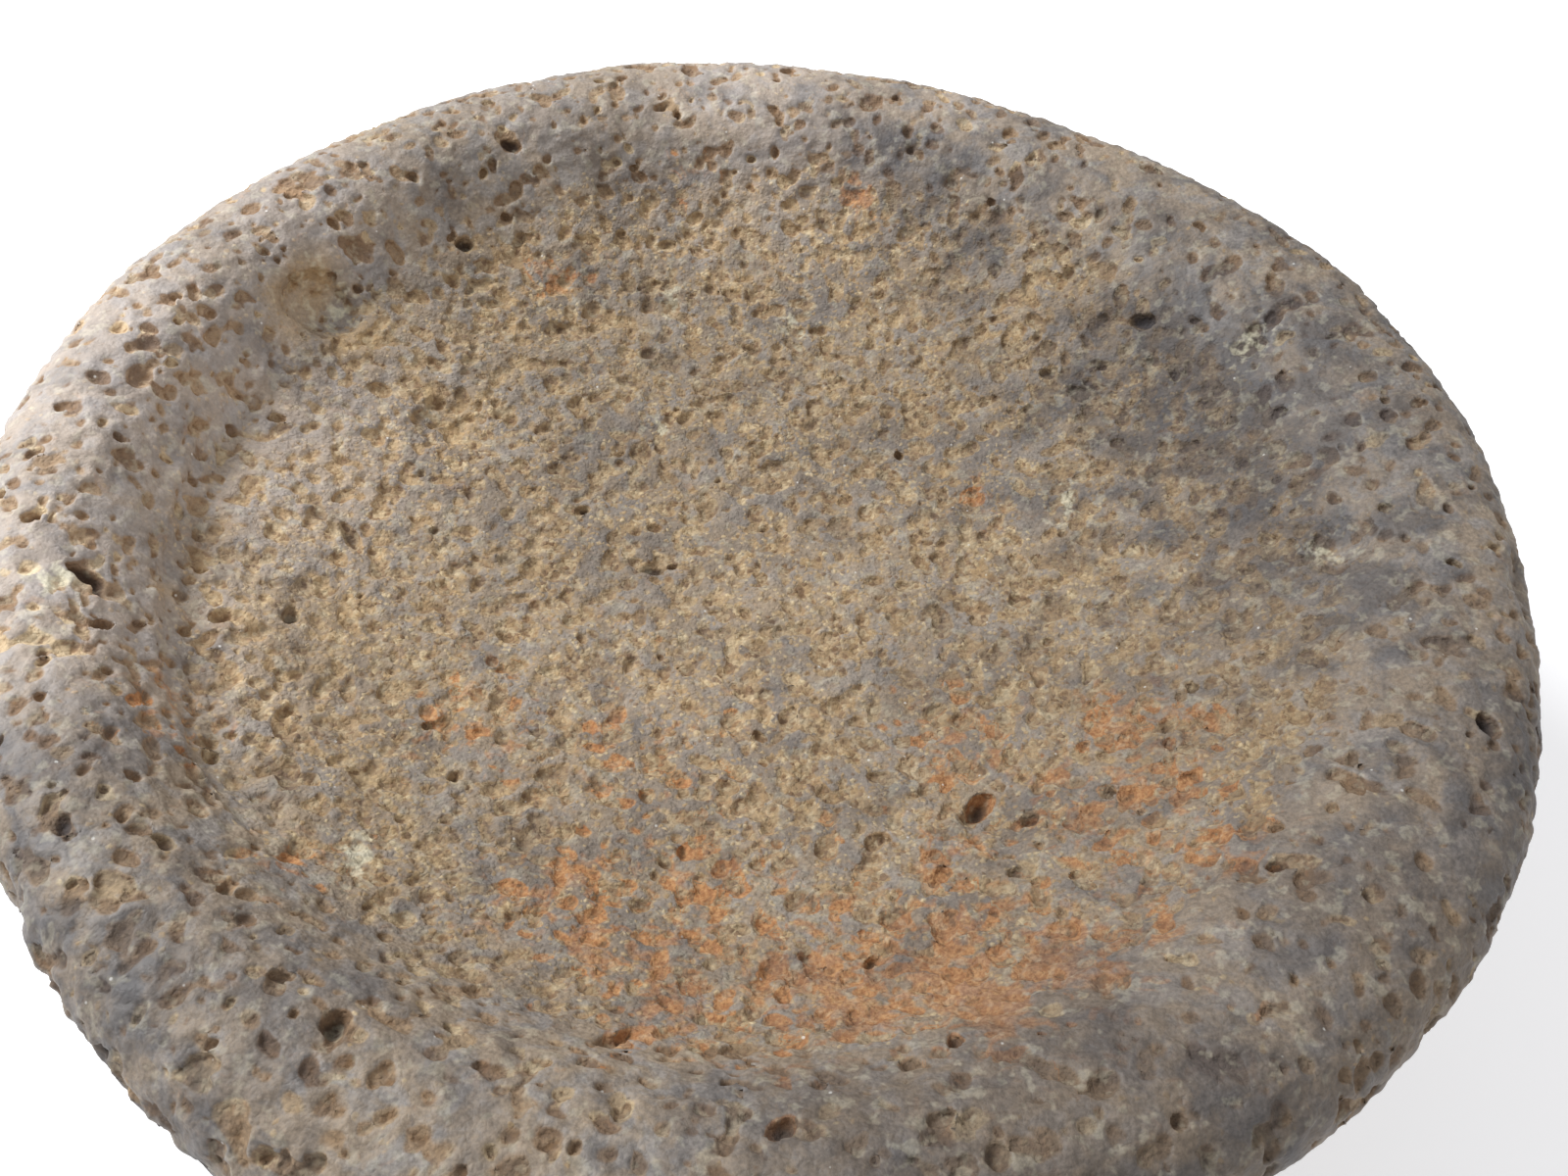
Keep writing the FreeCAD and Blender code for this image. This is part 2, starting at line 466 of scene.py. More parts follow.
def samples(points, quads, per_area):
    """Seeded random points on a net, with normals: that many of them to a square mm."""
    corner = [points[quads[:, i]] for i in range(4)]
    across = np.cross(corner[2] - corner[0], corner[3] - corner[1])
    doubled = np.linalg.norm(across, axis=1)
    chosen = rng.choice(len(quads), int(doubled.sum() / 2.0 * per_area), p=doubled / doubled.sum())
    u, v = rng.random((2, len(chosen), 1))
    low = corner[0][chosen] * (1.0 - u) + corner[1][chosen] * u
    high = corner[3][chosen] * (1.0 - u) + corner[2][chosen] * u
    return low * (1.0 - v) + high * v, across[chosen] / doubled[chosen, None]


def mortar_body():
    """The mortar before its pits: legs run into the bowl, and the surface dressed by hand."""
    field = distances(*union_of(MORTAR_NODES))
    points = field.points()
    height = points[:, 2]
    run_in = smoothstep(*LEG_FILLET, height) * (1.0 - smoothstep(LEG_TOP, LEG_TOP + FILLET_END, height))
    run_in = run_in.reshape(field.values.shape)
    field.values += (field.softened(FILLET_ROUNDS) - field.values) * run_in
    field.values += lumps(points, LUMPS, 3).reshape(field.values.shape)
    for hollow in HOLLOWS:
        dig_at(field, *hollow)
    for degrees in np.arange(*CREASE_ANGLES, CREASE_STEP):
        turn = math.radians(degrees)
        place = CREASE_RADIUS * math.cos(turn), CREASE_RADIUS * math.sin(turn), CREASE_HEIGHT
        dig_at(field, place, *CREASE_AXES, degrees + 90.0)
    return field


def mortar_pits(field, points, quads):
    """Digs the holes placed one by one, and pits of each kind at its share of the random places."""
    for hole in HOLES:
        dig_at(field, *hole)
    places, normals = samples(points, quads, MORTAR_PLACES)
    floor = across_floor(places) > 0.5
    chance = rng.random(len(places))
    right = smoothstep(*RIGHT_SIDE, places[:, 0])
    kinds = [
        (BASIN_PITS, floor & (chance < 0.60)),
        (BASIN_HOLES, floor & (chance > 0.985)),
        (RIM_PITS, ~floor & (chance < 0.34 - 0.15 * right)),
        (RIM_HOLES, ~floor & (chance > 0.95 + 0.02 * right)),
        (BROAD_PITS, np.abs(chance - 0.75) < 0.012 + 0.020 * right),
    ]
    for kind, chosen in kinds:
        dig_pits(field, places[chosen], normals[chosen], *kind)


def tejolote_body():
    """The tejolote before its pits."""
    field = distances(*union_of(["tejolote"]))
    field.values += lumps(field.points(), LUMPS, 13).reshape(field.values.shape)
    return field


def tejolote_pits(field, points, quads):
    """Digs shallow pits, and deep ones at some of the random places."""
    places, normals = samples(points, quads, PESTLE_PLACES)
    deep = rng.random(len(places)) < 0.2
    dig_pits(field, places[~deep], normals[~deep], *PESTLE_PITS)
    dig_pits(field, places[deep], normals[deep], *PESTLE_HOLES)


def grained(points, normals):
    """The net with its fine grain, kept flat where it stands on the floor."""
    lift = lumps(points, GRAIN, 23)
    lift += BASIN_DENTS[1] * rough(points, BASIN_DENTS[0], 27) * across_floor(points)
    move = normals * lift[:, None]
    for i, (size, amount) in enumerate(WARP):
        seeds = range(41 + 3 * i, 44 + 3 * i)
        move += amount * np.stack([rough(points, size, seed) for seed in seeds], axis=1)
    return points + move * smoothstep(0.0, STANDING, points[:, 2])[:, None]


def carved(body, dig):
    """Cuts a body of stone flat at the floor and digs its pits.

    Returns its net, normals, depths in mm and tints."""
    heights = body.origin[2] + body.step * np.arange(body.values.shape[2])
    body.values = np.maximum(body.values, FOOT_LEVEL - heights)
    field = body.finer(FINE_STEP)
    dig(field, *net_over(body))
    points, quads = largest_part(*net_over(field))
    depth = -body.at(points)
    tint = field.tints_at(points)
    points = grained(points, point_normals(points, quads))
    return points, quads, point_normals(points, quads), depth, tint


# --- Stains, and patches of painted light and shade ---

WANDER_SIZE = 16.0  # of the waves in a patch's outline
WANDER = 5.0  # how far they push it
STAINS_AND_PAINTED_LIGHT_AND_SHADE = (BELLY - 14.0, BELLY - 4.0)  # heights over which the rim's patches begin: stains, and painted light and shade

# Places in plan, reach in mm and strength of each patch in the basin and on the rim
ORANGE = [
    (18, -82, 15, 1.0), (46, -78, 13, 0.95), (32, -79, 14, 1.0), (-13, -77, 11, 0.8),
    (-8, -64, 9, 0.6), (-6, -85, 10, 0.8), (62, -32, 10, 0.6), (55, -48, 13, 0.7),
    (34, -33, 9, 0.65), (34, -58, 11, 0.7), (-42, -39, 11, 0.5), (-55, -74, 8, 0.55),
    (-48, 67, 5, 0.8), (10, -66, 12, 0.55), (64, -60, 9, 0.6), (-30, -70, 8, 0.5),
    (-78, -52, 7, 0.5), (14, 88, 4, 0.8), (-19, 90, 4, 0.6), (40, 22, 5, 0.5),
    (-15, -40, 16, 0.35), (20, -86, 7, 1.4), (33, -84, 7, 1.5), (46, -80, 7, 1.4),
    (-22, -68, 6, 1.2), (-15, -80, 6, 1.2),
]
# Sooty stains on the right inner wall and the far rim. The six broad, faint patches on the last two
# lines are painted shade, darkening the near and right rim.
DARK = [
    (18, 96, 15, 0.6), (32, 92, 13, 0.7), (41, 80, 12, 0.7), (83, 35, 26, 1.2), (88, 15, 24, 1.1),
    (93, -16, 18, 0.9), (58, 44, 14, 0.9), (72, 56, 18, 1.0), (96, 0, 20, 0.8), (50, 84, 16, 0.7),
    (-72, -96, 18, 0.8), (-92, -72, 15, 0.6), (-84, 22, 7, 0.4), (66, 24, 14, 0.35),
    (-30, -108, 26, 0.1), (20, -110, 28, 0.35), (66, -98, 30, 0.35), (104, -56, 28, 0.5),
    (112, 20, 30, 0.4), (90, 70, 26, 0.4),
]
CREAM = [
    (-103, -36, 3.5, 0.7), (88, 44, 3, 0.8), (-49, -68, 3, 1.0), (-22, 62, 3, 0.6), (6, 62, 3, 0.6),
    (96, -2, 2.5, 0.5), (-84, 43, 3.5, 1.1), (-78, -99, 2.5, 0.9), (-22, 34, 3, 0.7), (54, 18, 4, 0.5),
]
TAN = [
    (-59, 27, 13, 0.9), (-75, 10, 24, 0.7), (-70, -30, 26, 0.8), (-50, 45, 22, 0.6),
    (-20, -30, 26, 0.5), (-84, 41, 12, 1.1), (0, -40, 26, 0.6), (-55, -50, 20, 0.7),
    (40, 0, 24, 0.4), (94, -4, 6, 0.8), (0, 50, 30, 0.4), (-94, 2, 6, 0.8), (-93, -12, 6, 0.9),
    (-89, -26, 6, 0.9), (-82, -41, 6, 0.9), (-73, -57, 7, 0.8), (30, -40, 26, 0.5),
]
# Painted light: these pale patches paint the left and far rim and the middle of the basin lighter and
# greyer.
PAINTED_LIGHT_PATCHES = [
    (-104, 10, 46, 1.65), (-94, 55, 32, 1.25), (-104, -34, 36, 1.55), (-60, 100, 30, 0.9),
    (-84, -40, 30, 0.8), (-10, 112, 38, 1.2), (34, 114, 24, 1.0), (-56, 76, 28, 0.6),
    (0, 92, 26, 0.7), (56, 98, 22, 0.5), (0, -5, 42, 0.3), (-40, -20, 36, 0.3),
    (-12, -26, 26, 0.5),
]
# Painted shade: these patches darken the near rim and the right side, towards the front.
PAINTED_SHADE_PATCHES = [
    (20, -110, 22, 0.9), (48, -106, 30, 1.0), (84, -80, 34, 0.6), (100, -40, 34, 0.5),
    (70, -30, 30, 0.45), (50, -62, 28, 0.4), (40, -25, 34, 0.36),
]

# Each kind of patch, and the seed of its outlines
PATCHES = {
    "orange": (ORANGE, 31),
    "dark": (DARK, 33),
    "cream": (CREAM, 35),
    "tan": (TAN, 37),
    "pale": (PAINTED_LIGHT_PATCHES, 39),
    "painted_shade": (PAINTED_SHADE_PATCHES, 45),
}


def spread(points, patches, seed):
    """How strongly each point is marked by the patches, whose outlines wander."""
    push = np.stack([rough(points, WANDER_SIZE, seed + i) for i in range(2)], axis=1)
    place = points[:, :2] + WANDER * push
    total = np.zeros(len(points))
    for x, y, size, strength in patches:
        away = np.hypot(place[:, 0] - x, place[:, 1] - y) / size
        total = np.maximum(total, strength * np.exp(-away ** 2))
    return total


def standing_out(points, quads, normals):
    """How far each point stands out from its neighbours, in mm: where stone wears, and, below zero,
    where shade is painted in nooks.
    """
    total = np.zeros_like(points)
    count = np.zeros(len(points))
    for i in range(4):
        start, end = quads[:, i], quads[:, (i + 1) % 4]
        count += np.bincount(start, minlength=len(points))
        for axis in range(3):
            total[:, axis] += np.bincount(start, points[end, axis], len(points))
    return ((points - total / count[:, None]) * normals).sum(axis=1)


# --- Pieces ---

LAYOUT_EDGE = 0.01  # left clear round a piece's layout, of its width
SPARE = 0.004  # corner of the layout that the closing fans are squeezed into
BARREL_TURNS = 1.06  # one turn, and room for the quads that cross its seam
UNDER_SPREAD = 0.4  # how far the outer wall's height spreads it out in the layout
OVER_RIM = (102.0, 114.0)  # radii between which the inside's layout turns down over the rim
LEG_REACH = 40.0  # stone further from a leg's middle is never the leg's


def without_islands(region, quads, count):
    """The region of each quad, with each region's islands given to what lies round them."""
    island = np.zeros(len(quads), bool)
    for number in np.unique(region):
        mine = quads[region == number]
        label = joined_labels(count, np.concatenate([mine[:, :2], mine[:, 1:3], mine[:, 2:]]))
        label = label[mine[:, 0]]
        island[region == number] = label != np.bincount(label).argmax()
    while island.any():
        near = np.full(count, -1)
        near[quads[~island]] = region[~island][:, None]
        found = near[quads].max(axis=1)
        ready = island & (found >= 0)
        region[ready] = found[ready]
        island[ready] = False
    return region


def closing_fans(points, quads, core):
    """Points and triangles that close an open net inside the stone, one point for each loop.

    The longest loop closes on the core, and any other on its own middle."""
    starts = quads.reshape(-1)
    ends = np.roll(quads, -1, axis=1).reshape(-1)
    count = len(points)
    unmatched = ~np.isin(ends * count + starts, starts * count + ends)
    starts, ends = starts[unmatched], ends[unmatched]
    label = joined_labels(count, np.stack([starts, ends], axis=1))[starts]
    loops, loop_of, sizes = np.unique(label, return_inverse=True, return_counts=True)
    centres = np.stack([
        points[starts[loop_of == number]].mean(axis=0) for number in range(len(loops))
    ])
    centres[sizes.argmax()] = core if core is not None else centres[sizes.argmax()]
    return centres, np.stack([ends, starts, count + loop_of], axis=1)


def write_mesh(name, points, quads, fans, normals, marks, flat):
    """A mesh in metres, with a value at each point for every mark and a layout for baking."""
    mesh = bpy.data.meshes.new(name)
    corners = np.concatenate([quads.reshape(-1), fans.reshape(-1)])
    starts = np.concatenate([
        4 * np.arange(len(quads)), 4 * len(quads) + 3 * np.arange(len(fans))
    ])
    mesh.vertices.add(len(points))
    mesh.vertices.foreach_set("co", (points * MM).astype(np.float32).reshape(-1))
    mesh.loops.add(len(corners))
    mesh.loops.foreach_set("vertex_index", corners.astype(np.int32))
    mesh.polygons.add(len(starts))
    mesh.polygons.foreach_set("loop_start", starts.astype(np.int32))
    mesh.update(calc_edges=True)
    for mark, values in marks.items():
        attribute = mesh.attributes.new(mark, "FLOAT", "POINT")
        attribute.data.foreach_set("value", values.astype(np.float32))
    layout = mesh.uv_layers.new(name="OFBake")
    layout.uv.foreach_set("vector", flat.astype(np.float32).reshape(-1))
    mesh.normals_split_custom_set_from_vertices(normals)
    return mesh


def disc_layout(points, quads, middle, reach):
    """Lays quads out as a disc round a vertical line: reach gives each point's distance."""
    away = points[:, :2] - middle
    radius = np.maximum(np.linalg.norm(away, axis=1), 1e-6)
    flat = away / radius[:, None] * reach(radius, points[:, 2])[:, None]
    low, high = flat.min(0), flat.max(0)
    flat = (flat - low) / (high - low).max()
    return (LAYOUT_EDGE + (1.0 - 2.0 * LAYOUT_EDGE) * flat)[quads].reshape(-1, 2)


def barrel_layout(points, quads, low, high):
    """Lays quads out as the skin of a barrel along X, with its ends spread beyond its sides."""
    middle = (low + high) / 2.0
    angle = np.arctan2(points[:, 2] - middle[2], points[:, 1] - middle[1]) / math.tau + 0.5
    girth = np.hypot(points[:, 1] - middle[1], points[:, 2] - middle[2])
    end = np.sign(points[:, 0] - middle[0])
    along = points[:, 0] + end * (girth.max() - girth)
    along = (along - along.min()) / (along.max() - along.min())
    turn = angle[quads]
    turn = np.where(turn.max(axis=1, keepdims=True) - turn < 0.5, turn, turn + 1.0)
    across = LAYOUT_EDGE + turn / BARREL_TURNS
    up = LAYOUT_EDGE + (1.0 - 2.0 * LAYOUT_EDGE) * along[quads]
    return np.stack([across, up], axis=2).reshape(-1, 2)


def write_piece(name, stone, chosen, core, layout, node, body):
    """Makes one piece from the chosen quads of a stone, closed inside and joined to its body."""
    points, quads, normals, marks = stone
    used, numbers = np.unique(quads[chosen], return_inverse=True)
    quads = numbers.reshape(-1, 4)
    points, normals = points[used], normals[used]
    flat = layout(points, quads)
    marks = {mark: values[used] for mark, values in marks.items()}
    fans = np.zeros((0, 3), int)
    if len(chosen) < len(stone[1]):
        centres, fans = closing_fans(points, quads, core)
        points = np.concatenate([points, centres])
        normals = np.concatenate([normals, np.tile([0.0, 0.0, 1.0], (len(centres), 1))])
        marks = {
            mark: np.concatenate([values, np.zeros(len(centres))]) for mark, values in marks.items()
        }
        flat = np.concatenate([flat, np.tile([[0, 0], [SPARE, 0], [0, SPARE]], (len(fans), 1))])
    mesh = write_mesh(name, points, quads, fans, normals, marks, flat)
    piece = bpy.data.objects.new(name, mesh)
    bpy.context.scene.collection.objects.link(piece)
    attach(piece, body)
    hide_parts(node)
    return piece


def nearest_leg(points):
    """The leg whose CAD solid is nearer than the bowl's to each point, or -1."""
    found = np.full(len(points), -1)
    low = np.flatnonzero(points[:, 2] < LEG_TOP)
    away = {}
    for name in MORTAR_NODES:
        node_points, faces = mesh_arrays(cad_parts[name].data)
        tree = BVHTree.FromPolygons([Vector(point) for point in node_points], faces)
        away[name] = np.array([tree.find_nearest(Vector(points[i]))[3] for i in low])
    for number, name in enumerate(LEG_NODES):
        mine = low[away[name] < away["bowl"]]
        across = points[mine, :2] - leg_middle(name)
        found[mine[np.linalg.norm(across, axis=1) < LEG_REACH]] = number
    return found


def leg_middle(name):
    """Where a leg stands, in plan."""
    low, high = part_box(name)
    return np.array((low + high) / 2.0)[:2] / MM


def write_mortar():
    """Carves the mortar's one block, and parts it into the bowl's two halves and the legs."""
    points, quads, normals, depth, tint = carved(mortar_body(), mortar_pits)
    worn = standing_out(points, quads, normals)
    basin = across_floor(points)
    top = np.maximum(smoothstep(*STAINS_AND_PAINTED_LIGHT_AND_SHADE, points[:, 2]), basin)
    marks = {"pit": depth, "tint": tint, "worn": worn, "basin": basin}
    for name, (patches, seed) in PATCHES.items():
        marks[name] = spread(points, patches, seed) * top
    middles = points[quads].mean(axis=1)
    above = middles[:, 2] > cut_height(np.hypot(middles[:, 0], middles[:, 1]))
    region = np.where(above, len(LEG_NODES) + 1, len(LEG_NODES))
    leg = nearest_leg(middles)
    region = np.where(leg >= 0, leg, region)
    region = without_islands(region, quads, len(points))
    stone = points, quads, normals, marks
    middle, core = np.zeros(2), np.array([0.0, 0.0, CORE_HEIGHT])
    parts = [
        (name + "_stone", name, None, leg_middle(name), lambda r, z: r + z) for name in LEG_NODES
    ] + [
        ("bowl_outside", "bowl", core, middle, lambda r, z: r + UNDER_SPREAD * z),
        ("bowl_inside", "bowl", core, middle, lambda r, z: r + smoothstep(*OVER_RIM, r) * (RIM_TOP - z)),
    ]
    return [
        write_piece(
            name, stone, np.flatnonzero(region == number), end,
            lambda p, q: disc_layout(p, q, at, reach), node, "root",
        )
        for number, (name, node, end, at, reach) in enumerate(parts)
    ]


def write_tejolote():
    """Carves the tejolote, which has no basin and no patches."""
    points, quads, normals, depth, tint = carved(tejolote_body(), tejolote_pits)
    low, high = (np.array(corner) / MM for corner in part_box("tejolote"))
    marks = {"pit": depth, "tint": tint, "worn": standing_out(points, quads, normals)}
    marks.update(dict.fromkeys(["basin", *PATCHES], np.zeros(len(points))))
    return write_piece(
        "tejolote_stone", (points, quads, normals, marks), np.arange(len(quads)), None,
        lambda p, q: barrel_layout(p, q, low, high), "tejolote", "tejolote",
    )


# --- Material ---


def linear(red, green, blue):
    """A display colour, 0 to 255, as the shader takes it."""
    levels = [value / 255.0 for value in (red, green, blue)]
    return [v / 12.92 if v <= 0.04045 else ((v + 0.055) / 1.055) ** 2.4 for v in levels] + [1.0]


class Recipe:
    """Adds nodes to a material. Any input may be a number, a colour or another node's output."""

    def __init__(self, name):
        self.material = bpy.data.materials.new(name)
        self.material.use_nodes = True
        self.nodes = self.material.node_tree.nodes
        self.links = self.material.node_tree.links
        self.shader = self.nodes["Principled BSDF"]

    def put(self, socket, value):
        """Gives a socket its input."""
        if isinstance(value, bpy.types.NodeSocket):
            self.links.new(value, socket)
        else:
            socket.default_value = value

    def math(self, operation, first, second=0.0):
        node = self.nodes.new("ShaderNodeMath")
        node.operation = operation
        self.put(node.inputs[0], first)
        self.put(node.inputs[1], second)
        return node.outputs[0]

    def ramp(self, value, low, high, start=0.0, end=1.0):
        """A smooth step from start to end, as the value goes from low to high."""
        node = self.nodes.new("ShaderNodeMapRange")
        node.interpolation_type = "SMOOTHSTEP"
        for socket, number in zip(node.inputs, (value, low, high, start, end)):
            self.put(socket, number)
        return node.outputs[0]

    def mix(self, share, first, second):
        """The first colour, and the second one over it where the share is 1."""
        node = self.nodes.new("ShaderNodeMix")
        node.data_type = "RGBA"
        self.put(node.inputs["Factor"], share)
        self.put(node.inputs[6], first)
        self.put(node.inputs[7], second)
        return node.outputs[2]

    def mark(self, name):
        """One of the values that the mesh holds at each point."""
        node = self.nodes.new("ShaderNodeAttribute")
        node.attribute_name = name
        return node.outputs["Fac"]

    def place(self):
        """Where the point is on the object, in mm."""
        node = self.nodes.new("ShaderNodeTexCoord")
        scaled = self.nodes.new("ShaderNodeVectorMath")
        scaled.operation = "SCALE"
        scaled.inputs["Scale"].default_value = 1.0 / MM
        self.put(scaled.inputs[0], node.outputs["Object"])
        return scaled.outputs[0]

    def noise(self, place, size, detail=2.0, roughness=0.5, distortion=0.0, output="Fac"):
        """Smooth noise with waves of that size in mm."""
        node = self.nodes.new("ShaderNodeTexNoise")
        self.put(node.inputs["Vector"], place)
        node.inputs["Scale"].default_value = 1.0 / size
        node.inputs["Detail"].default_value = detail
        node.inputs["Roughness"].default_value = roughness
        node.inputs["Distortion"].default_value = distortion
        return node.outputs[output]

    def grains(self, place, size):
        """Cells of that size in mm, as a node with their colours and distances."""
        node = self.nodes.new("ShaderNodeTexVoronoi")
        self.put(node.inputs["Vector"], place)
        node.inputs["Scale"].default_value = 1.0 / size
        return node

    def stirred(self, place, size, amount):
        """The place, pushed about by noise of that size, so that shapes in it lose their outline."""
        stir = self.noise(place, size, 1.0, output="Color")
        node = self.nodes.new("ShaderNodeVectorMath")
        node.operation = "MULTIPLY_ADD"
        self.put(node.inputs[0], stir)
        node.inputs[1].default_value = (2.0 * amount,) * 3
        self.put(node.inputs[2], place)
        return node.outputs[0]

    def chance(self, grains):
        """Three random numbers for each grain."""
        node = self.nodes.new("ShaderNodeSeparateColor")
        self.put(node.inputs[0], grains.outputs["Color"])
        return node.outputs


GREY_BROWN = linear(143, 127, 109)
GREY_BLUE = linear(137, 129, 122)
GREY_DARK = linear(104, 95, 88)
# painted light: the grey that the pale patches mix in
PAINTED_LIGHT_GREY = linear(150, 141, 136)
SEDIMENT = linear(162, 135, 97)
SEDIMENT_PALE = linear(194, 173, 136)
SEDIMENT_BROWN = linear(114, 87, 60)
FILL = linear(143, 117, 88)
# painted shade, nearly black, down deep holes
PAINTED_HOLE_SHADE = linear(54, 39, 29)
# painted shade: the brown that darkens the near and right side
PAINTED_SHADE_BROWN = linear(88, 76, 65)
RUST = linear(168, 109, 62)
RUST_PALE = linear(174, 127, 82)
# sooty stains, and painted shade where the dark patches are broad and faint
SOOT_AND_SHADE = linear(60, 60, 65)
LIME = linear(203, 197, 172)
# painted highlight on the tiny crystals
GLINT = linear(228, 226, 220)


class Basalt(Recipe):
    """Worn vesicular basalt. Each layer takes the colour under it and returns the colour on top."""

    def __init__(self, name):
        super().__init__(name)
        self.spot = self.place()
        self.pit, self.tint = self.mark("pit"), self.mark("tint")
        self.worn, self.basin = self.mark("worn"), self.mark("basin")
        # The pale mark is where light is painted on.
        self.tan, self.pale = self.mark("tan"), self.mark("pale")
        self.mottle = self.noise(self.spot, 6.0, 4.0, 0.6, 0.6)
        self.fine = self.noise(self.spot, 0.7, 3.0, 0.7)
        self.small = self.grains(self.stirred(self.spot, 1.1, 0.45), 0.85)
        self.silt = self.silt_colour()

    def silt_colour(self):
        """Each small grain of sediment has its own colour."""
        chances = self.chance(self.small)
        colour = self.mix(self.ramp(chances[1], 0.45, 1.0), SEDIMENT, SEDIMENT_PALE)
        return self.mix(self.ramp(chances[2], 0.75, 0.95), colour, SEDIMENT_BROWN)

    def matrix(self):
        """The bare grey stone."""
        clouds = self.noise(self.spot, 26.0, 3.0, 0.55)
        colour = self.mix(self.ramp(self.mottle, 0.44, 0.62), GREY_BROWN, GREY_BLUE)
        colour = self.mix(self.ramp(self.basin, 0.0, 1.0, 0.0, 0.12), colour, SEDIMENT)
        return self.mix(self.ramp(clouds, 0.56, 0.36, 0.0, 0.55), colour, GREY_DARK)

    def silted(self, colour, age):
        """Grains of sediment, thickest in the basin and its tan patches, rubbed away in places."""
        rubbed = self.noise(self.spot, 15.0, 3.0, 0.55, 0.4)
        patchy = self.math("ADD", self.ramp(self.mottle, 0.35, 0.65, 0.14, -0.14),
                           self.ramp(rubbed, 0.40, 0.60, 0.16, -0.22))
        patchy = self.math("MULTIPLY", patchy, self.ramp(self.basin, 0.0, 1.0, 0.3, 1.0))
        cover = self.math("ADD", self.math("MULTIPLY", self.basin, 0.32), age)
        cover = self.math("ADD", cover, self.math("MULTIPLY", self.tan, 0.22))
        cover = self.math("ADD", cover, patchy)
        large = self.grains(self.stirred(self.spot, 2.4, 0.9), 2.3)
        for grains, spare in ((large, 0.20), (self.small, 0.0)):
            left = self.math("SUBTRACT", self.math("SUBTRACT", cover, spare), self.chance(grains)[0])
            shown = self.math("MULTIPLY", self.ramp(left, 0.0, 0.10),
                              self.ramp(grains.outputs["Distance"], 0.66, 0.30))
            colour = self.mix(self.math("MULTIPLY", shown, 0.75), colour, self.silt)
        return colour

    def greyed_by_painted_light(self, colour):
        """Painted light: greyer and paler where the pale patches lie on the rim."""
        return self.mix(self.ramp(self.pale, 0.3, 1.5, 0.0, 0.45), colour, PAINTED_LIGHT_GREY)

    def lined(self, colour):
        """Sediment in the pits, of a different colour in each, and the tan patches."""
        lining = self.mix(self.ramp(self.tint, 0.15, 0.55), SEDIMENT_BROWN, FILL)
        lining = self.mix(self.ramp(self.tint, 0.70, 1.0, 0.0, 0.7), lining, SEDIMENT_PALE)
        lining = self.mix(self.ramp(self.basin, 0.2, 0.9, 0.0, 0.6), lining, self.silt)
        colour = self.mix(self.ramp(self.pit, 0.10, 0.34, 0.0, 0.8), colour, lining)
        return self.mix(self.ramp(self.tan, 0.55, 0.95, 0.0, 0.55), colour, SEDIMENT)

    def rusted(self, colour):
        """Orange that fills some pits whole and streaks the stone between them."""
        orange = self.mark("orange")
        filled = self.math("SUBTRACT", self.math("MULTIPLY", orange, 0.9),
                           self.math("FRACT", self.math("MULTIPLY", self.tint, 7.31)))
        filled = self.math("MULTIPLY", self.ramp(filled, 0.0, 0.05), self.ramp(self.pit, 0.10, 0.30))
        blobs = self.noise(self.spot, 3.4, 2.0, 0.55, 0.8)
        streaks = self.math("SUBTRACT", orange, self.ramp(blobs, 0.74, 0.38))
        rust = self.math("MAXIMUM", filled, self.ramp(streaks, -0.20, 0.50, 0.0, 0.80))
        rust_colour = self.mix(self.ramp(self.fine, 0.4, 0.65), RUST, RUST_PALE)
        return self.mix(self.math("MULTIPLY", rust, 0.80), colour, rust_colour)

    def shaded_in_hollows(self, colour):
        """Painted shade: brown in every nook, and nearly black down the deep holes."""
        colour = self.mix(self.ramp(self.worn, -0.03, -0.12, 0.0, 0.8), colour, SEDIMENT_BROWN)
        return self.mix(self.ramp(self.pit, 1.0, 2.2, 0.0, 0.9), colour, PAINTED_HOLE_SHADE)

    def stained_and_shaded(self, colour):
        """Painted shade in brown, then sooty stains and painted shade, and lime, with ragged edges."""
        # Painted shade, darker towards the near and right side.
        colour = self.mix(self.ramp(self.mark("painted_shade"), 0.0, 1.0, 0.0, 0.65), colour, PAINTED_SHADE_BROWN)
        # Sooty stains, and painted shade where the dark patches are broad and faint.
        wisps = self.noise(self.spot, 9.0, 4.0, 0.6, 0.5)
        soot_and_shade = self.math("SUBTRACT", self.mark("dark"), self.ramp(wisps, 0.70, 0.34))
        colour = self.mix(self.ramp(soot_and_shade, -0.75, 0.75, 0.0, 0.74), colour, SOOT_AND_SHADE)
        crust = self.noise(self.spot, 2.6, 2.0, 0.6)
        lime = self.math("SUBTRACT", self.mark("cream"), self.ramp(crust, 0.66, 0.36))
        return self.mix(self.ramp(lime, -0.30, 0.60, 0.0, 0.62), colour, LIME)

    def glinting(self, colour):
        """Painted highlights: a few tiny pale crystals, painted glinting white."""
        glints = self.grains(self.spot, 2.9)
        glint = self.math("MULTIPLY", self.ramp(glints.outputs["Distance"], 0.10, 0.05),
                          self.math("GREATER_THAN", self.chance(glints)[0], 0.88))
        return self.mix(self.math("MULTIPLY", glint, 0.5), colour, GLINT)

    def toned(self, colour):
        """Lighter and darker with the grain, lighter on edges that wear, and lighter still in the pale
        patches: painted light.
        """
        shade = self.math("ADD", self.ramp(self.fine, 0.30, 0.70, 0.72, 1.12),
                          self.ramp(self.worn, 0.0, 0.14, 0.0, 0.22))
        # Painted light: the pale patches lighten the stone.
        shade = self.math("ADD", shade, self.math("MULTIPLY", self.pale, 0.50))
        tone = self.nodes.new("ShaderNodeVectorMath")
        tone.operation = "SCALE"
        self.put(tone.inputs[0], colour)
        self.put(tone.inputs["Scale"], shade)
        return tone.outputs[0]

